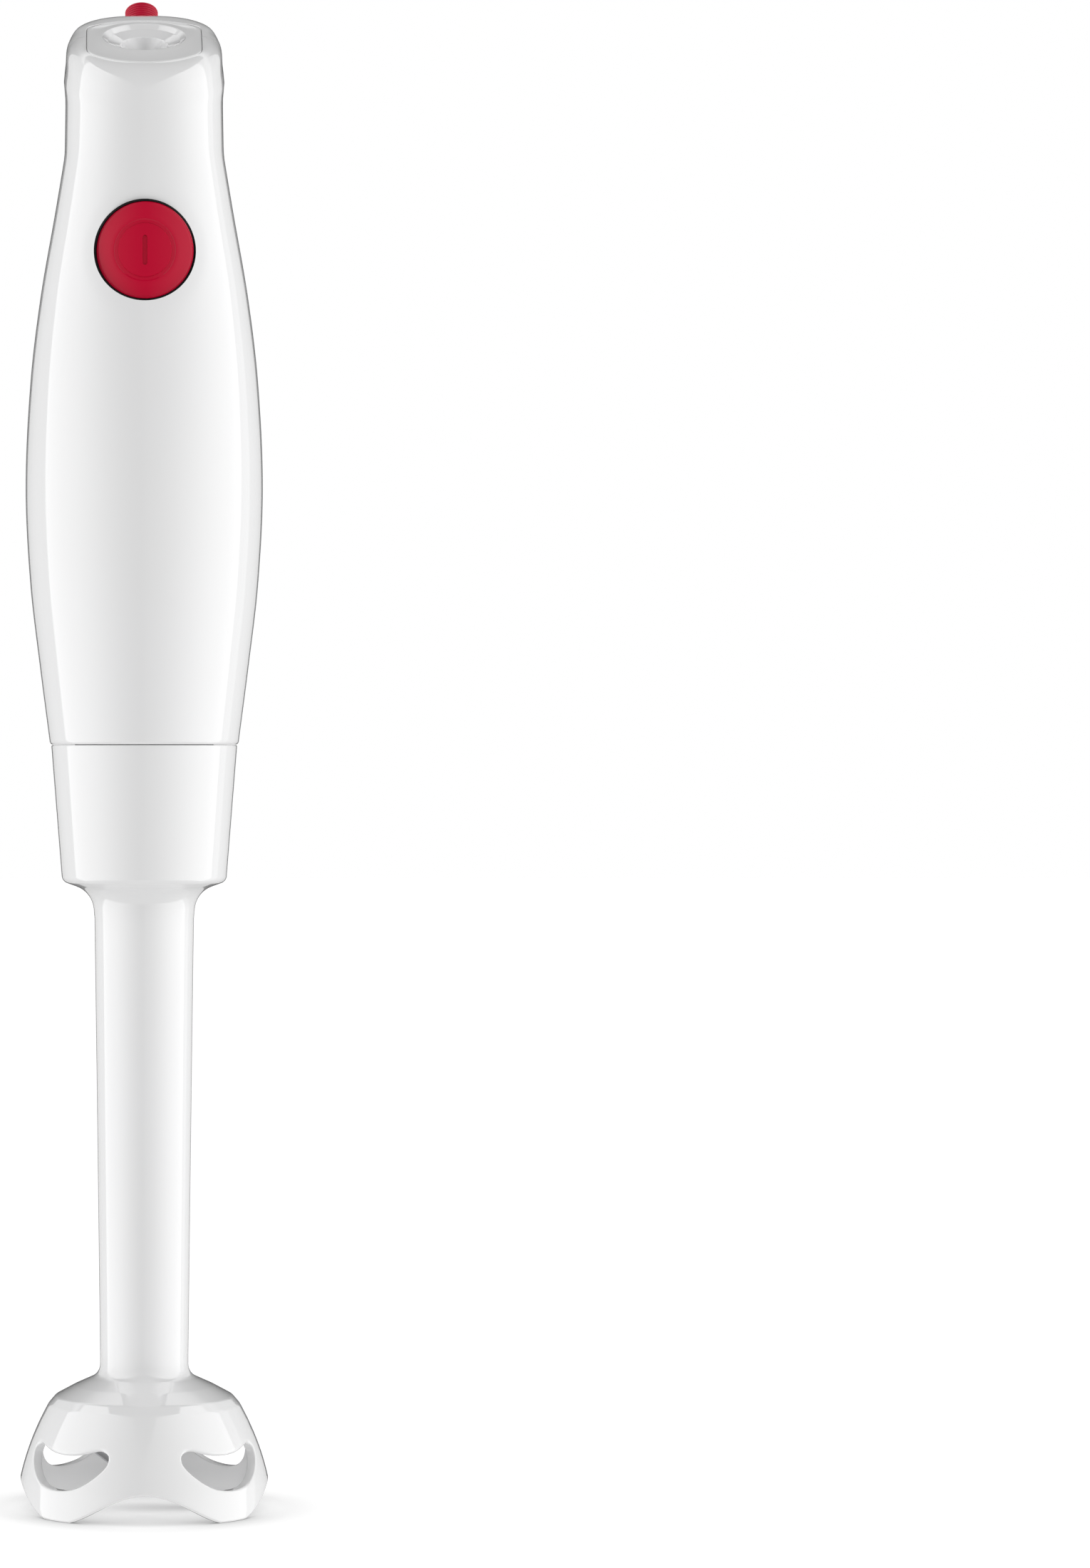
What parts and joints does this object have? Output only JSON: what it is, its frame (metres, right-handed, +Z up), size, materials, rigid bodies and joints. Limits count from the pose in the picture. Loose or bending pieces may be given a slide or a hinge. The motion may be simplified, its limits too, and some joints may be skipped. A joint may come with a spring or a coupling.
{
  "type": "immersion blender",
  "caption": "Upright stick blender: a swelling handle with a round power button and slanted head, and a twist-off foot with a windowed bell over a bent blade.",
  "frame": {"origin": "on the blade axis, on the surface that the foot's lobes stand on", "axes": "+Z up along the blade axis, the power button faces -Y, +X to the right when looking at the button"},
  "size_m": [0.0616, 0.0616, 0.3765],
  "materials": {
    "white_gloss_plastic": "glossy moulded white",
    "red_gloss_plastic": "satin moulded red",
    "red_soft_plastic": "flexible ribbed red",
    "black_plastic": "fine matt",
    "grey_nylon": "fine matt",
    "black_rubber": "matt",
    "stainless_steel": "brushed",
    "zinc_plated_steel": "dull plated",
    "copper_winding": "enamelled wire",
    "brass": "plain",
    "sintered_bronze": "dull, oil filled",
    "carbon": "dull graphite",
    "ferrite": "dull grey",
    "circuit_board_green": "solder mask",
    "capacitor_yellow": "moulded case",
    "wire_insulation": "plain"
  },
  "bodies": {
    "handle": {"front_shell": "white_gloss_plastic", "rear_shell": "white_gloss_plastic", "top_panel": "white_gloss_plastic", "cord_gland": "red_soft_plastic", "cord_clamp": "grey_nylon", "clamp_screw_left": "zinc_plated_steel", "clamp_screw_right": "zinc_plated_steel", "shell_screw_left": "zinc_plated_steel", "shell_screw_right": "zinc_plated_steel", "button_guide": "black_plastic", "button_spring": "stainless_steel", "switch_body": "black_plastic", "circuit_board": "circuit_board_green", "bridge_rectifier": "black_plastic", "suppressor_capacitor": "capacitor_yellow", "suppressor_choke": "copper_winding", "lead_wire_left": "wire_insulation", "lead_wire_right": "wire_insulation", "motor_can": "zinc_plated_steel", "lower_rubber_mount": "black_rubber", "upper_rubber_mount": "black_rubber", "magnet_left": "ferrite", "magnet_right": "ferrite", "lower_bearing": "sintered_bronze", "motor_end_cap": "black_plastic", "upper_bearing": "sintered_bronze", "carbon_brush_left": "carbon", "carbon_brush_right": "carbon", "brush_spring_left": "stainless_steel", "brush_spring_right": "stainless_steel", "brush_holder_left": "brass", "brush_holder_right": "brass", "bayonet_neck": "white_gloss_plastic"},
    "button": {"button_cap": "red_gloss_plastic"},
    "plunger": {"switch_plunger": "grey_nylon"},
    "rotor": {"motor_shaft": "stainless_steel", "armature_core": "zinc_plated_steel", "lower_winding": "copper_winding", "upper_winding": "copper_winding", "commutator": "brass", "cooling_fan": "black_plastic", "drive_coupling": "grey_nylon"},
    "seal": {"neck_seal": "black_rubber"},
    "foot": {"foot_shell": "white_gloss_plastic", "upper_bush": "sintered_bronze", "lower_bush": "sintered_bronze", "shaft_seal": "black_rubber", "seal_retainer": "stainless_steel"},
    "blade": {"blade_shaft": "stainless_steel", "driven_coupling": "grey_nylon", "shaft_circlip": "stainless_steel", "blade_hub": "grey_nylon", "blade_nut": "stainless_steel", "blade": "stainless_steel"}
  },
  "joints": [
    {"name": "button_press", "type": "slide", "parent": "handle", "child": "button", "axis": [0, 1, 0], "range_m": [0, 0.0025], "stiffness_N_per_m": 1200, "springref_m": -0.001, "deforming": ["button_spring"]},
    {"name": "switch_plunger_press", "type": "slide", "parent": "handle", "child": "plunger", "axis": [0, 1, 0], "range_m": [0, 0.002]},
    {"name": "motor_spin", "type": "hinge", "parent": "handle", "child": "rotor", "pos_m": [0, 0, 0.23], "axis": [0, 0, 1], "continuous": true},
    {"name": "foot_twist", "type": "hinge", "parent": "handle", "child": "seal", "pos_m": [0, 0, 0.18], "axis": [0, 0, 1], "range_deg": [0, 30]},
    {"name": "foot_pull", "type": "slide", "parent": "seal", "child": "foot", "axis": [0, 0, -1], "range_m": [0, 0.05]},
    {"name": "blade_spin", "type": "hinge", "parent": "foot", "child": "blade", "pos_m": [0, 0, 0.02], "axis": [0, 0, 1], "continuous": true}
  ],
  "couplings": [
    {"joint": "switch_plunger_press", "follows": "button_press", "ratio": 0.8},
    {"joint": "blade_spin", "follows": "motor_spin", "ratio": 1}
  ]
}
